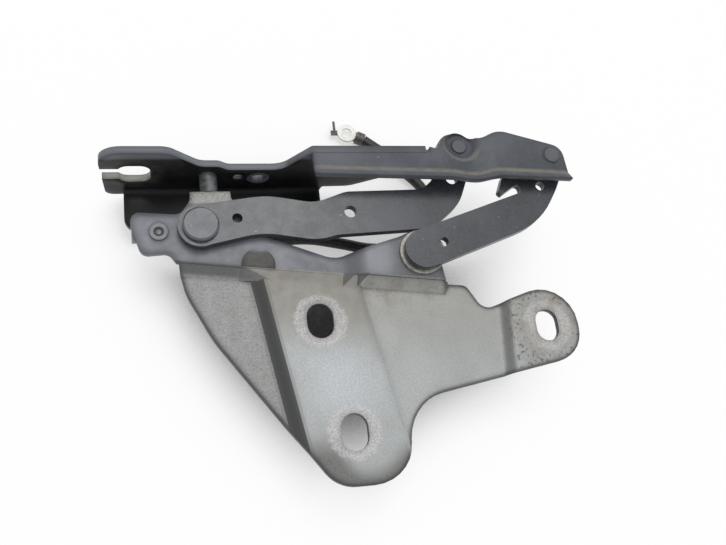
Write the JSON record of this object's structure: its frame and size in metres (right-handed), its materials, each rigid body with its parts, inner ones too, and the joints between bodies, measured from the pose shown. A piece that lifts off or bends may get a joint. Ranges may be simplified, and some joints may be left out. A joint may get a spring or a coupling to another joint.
{
  "type": "bonnet hinge",
  "caption": "Four-bar car bonnet hinge: a slotted base plate carries two riveted links and a forked bonnet bracket, with an earth lead behind.",
  "frame": {"origin": "on the base's mounting face, midway between the two pad slots", "axes": "+Z along the pivots, out of the mounting face; +X towards the rear of the car; +Y up in the car"},
  "size_m": [0.2204, 0.1907, 0.0534],
  "materials": {
    "base_steel": "satin, worn",
    "link_steel": "satin",
    "bracket_steel": "satin",
    "rivet_steel": "satin",
    "bush_bronze": "dull",
    "washer_steel": "dull zinc",
    "pin_steel": "satin",
    "zinc": "zinc plated",
    "tin": "tinned",
    "cable_black": "satin"
  },
  "bodies": {
    "base": {"base_bracket": "base_steel", "front_pivot_rivet": "rivet_steel", "front_pivot_washer": "washer_steel", "rear_pivot_bush": "bush_bronze", "rear_pivot_spacer": "washer_steel", "earth_rivet": "zinc", "fixed_terminal": "tin", "earth_cable": "cable_black", "free_terminal": "tin"},
    "front_arm": {"front_link": "link_steel", "front_pivot_bush": "bush_bronze"},
    "rear_arm": {"rear_link": "link_steel", "rear_pivot_pin": "rivet_steel", "rear_pivot_washer": "washer_steel", "bonnet_pivot_bush": "bush_bronze"},
    "bonnet_side": {"bonnet_bracket": "bracket_steel", "dish_pivot_rivet": "rivet_steel", "dish_pivot_washer": "washer_steel", "dish_pivot_backing": "washer_steel", "bonnet_pivot_rivet": "rivet_steel", "bonnet_pivot_washer": "washer_steel", "stop_pin": "pin_steel"}
  },
  "joints": [
    {"name": "front_link_turn", "type": "hinge", "parent": "base", "child": "front_arm", "pos_m": [-0.055, 0.0695, 0.007], "axis": [0, 0, 1], "range_deg": [0, 36]},
    {"name": "rear_link_turn", "type": "hinge", "parent": "base", "child": "rear_arm", "pos_m": [0.045, 0.054, 0.0115], "axis": [0, 0, 1], "range_deg": [0, 49.1]},
    {"name": "bonnet_turn", "type": "hinge", "parent": "rear_arm", "child": "bonnet_side", "pos_m": [0.1145, 0.0985, 0.0115], "axis": [0, 0, 1], "range_deg": [-87.1, 0]}
  ],
  "couplings": [
    {"joint": "rear_link_turn", "follows": "front_link_turn", "ratio": 1.362},
    {"joint": "bonnet_turn", "follows": "front_link_turn", "ratio": -2.4158}
  ]
}
